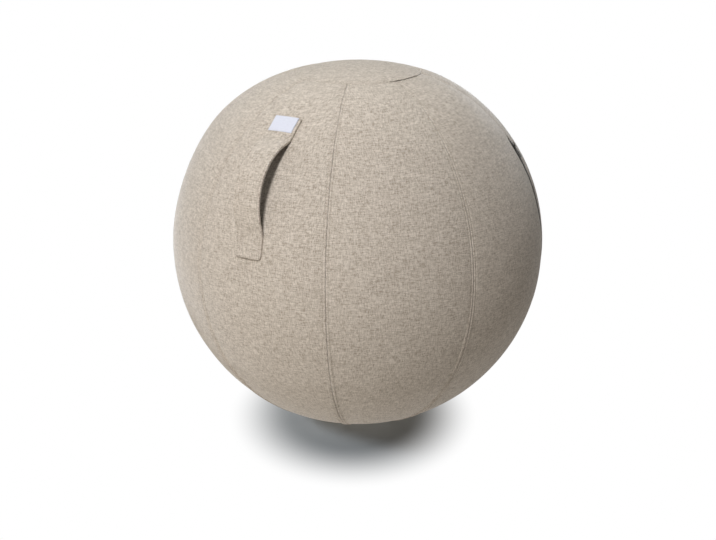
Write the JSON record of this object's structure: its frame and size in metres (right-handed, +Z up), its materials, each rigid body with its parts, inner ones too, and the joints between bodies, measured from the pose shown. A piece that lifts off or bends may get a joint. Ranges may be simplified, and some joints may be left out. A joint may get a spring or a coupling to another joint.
{
  "type": "sitting ball",
  "caption": "Round sitting ball: a sewn cover of cloth gores with a top patch, a bowed carry strap, a zip in one seam and a weighted flat base, over an inflated inner ball.",
  "frame": {"origin": "on the floor under the ball's centre, in the middle of the base panel's underside", "axes": "+Z up; -Y out through the carry handle; +X to the right of somebody who faces the handle"},
  "size_m": [0.65, 0.6536, 0.6269],
  "materials": {
    "cover_cloth": "melange woven upholstery cloth, matte",
    "fleece": "needled fleece",
    "seam_tape": "woven tape",
    "thread": "sewing thread",
    "ballast_cloth": "plain woven cloth",
    "ballast_fill": "granules",
    "inner_ball": "soft PVC film, satin",
    "valve": "soft PVC, satin",
    "label": "woven satin label, blank",
    "zip_tape": "woven tape",
    "zip_teeth": "moulded",
    "zip_metal": "dark lacquer, satin"
  },
  "bodies": {
    "ball": {"gore_panel_1": "cover_cloth", "gore_panel_2": "cover_cloth", "gore_panel_3": "cover_cloth", "gore_panel_4": "cover_cloth", "gore_panel_5": "cover_cloth", "gore_panel_6": "cover_cloth", "gore_panel_7": "cover_cloth", "gore_panel_8": "cover_cloth", "top_patch": "cover_cloth", "base_panel": "cover_cloth", "fleece_panel_1": "fleece", "fleece_panel_2": "fleece", "fleece_panel_3": "fleece", "fleece_panel_4": "fleece", "fleece_panel_5": "fleece", "fleece_panel_6": "fleece", "fleece_panel_7": "fleece", "fleece_panel_8": "fleece", "top_patch_fleece": "fleece", "seam_tape_1": "seam_tape", "seam_tape_2": "seam_tape", "seam_tape_3": "seam_tape", "seam_tape_4": "seam_tape", "seam_tape_5": "seam_tape", "seam_tape_6": "seam_tape", "seam_tape_7": "seam_tape", "seam_tape_8": "seam_tape", "top_ring_tape": "seam_tape", "base_ring_tape": "seam_tape", "gore_topstitching": "thread", "patch_topstitching": "thread", "ballast_sleeve": "ballast_cloth", "ballast_fill": "ballast_fill", "inner_ball": "inner_ball", "valve_seat": "valve", "valve_plug": "valve", "handle_label": "label", "zip_tape_left": "zip_tape", "zip_tape_right": "zip_tape", "zip_teeth_left": "zip_teeth", "zip_teeth_right": "zip_teeth", "zip_top_stop": "zip_teeth", "zip_bottom_stop": "zip_teeth"},
    "handle": {"handle_sleeve": "cover_cloth", "handle_webbing": "seam_tape", "handle_stitching": "thread"},
    "zip_slider": {"zip_slider": "zip_metal"},
    "zip_pull": {"zip_pull": "zip_metal"}
  },
  "joints": [
    {"name": "handle_pull", "type": "slide", "parent": "ball", "child": "handle", "axis": [0, -0.8729, 0.488], "range_m": [-0.022, 0.006], "stiffness_N_per_m": 300, "deforming": ["handle_sleeve", "handle_webbing", "handle_stitching"]},
    {"name": "zip_slide", "type": "hinge", "parent": "ball", "child": "zip_slider", "pos_m": [0, 0, 0.31157], "axis": [0.4431, -0.8965, 0], "range_deg": [-82.8, 0], "deforming": ["zip_teeth_left", "zip_teeth_right"]},
    {"name": "zip_pull_swing", "type": "hinge", "parent": "zip_slider", "child": "zip_pull", "pos_m": [0.24358, 0.12038, 0.49235], "axis": [0.4431, -0.8965, 0], "range_deg": [0, 175]}
  ]
}
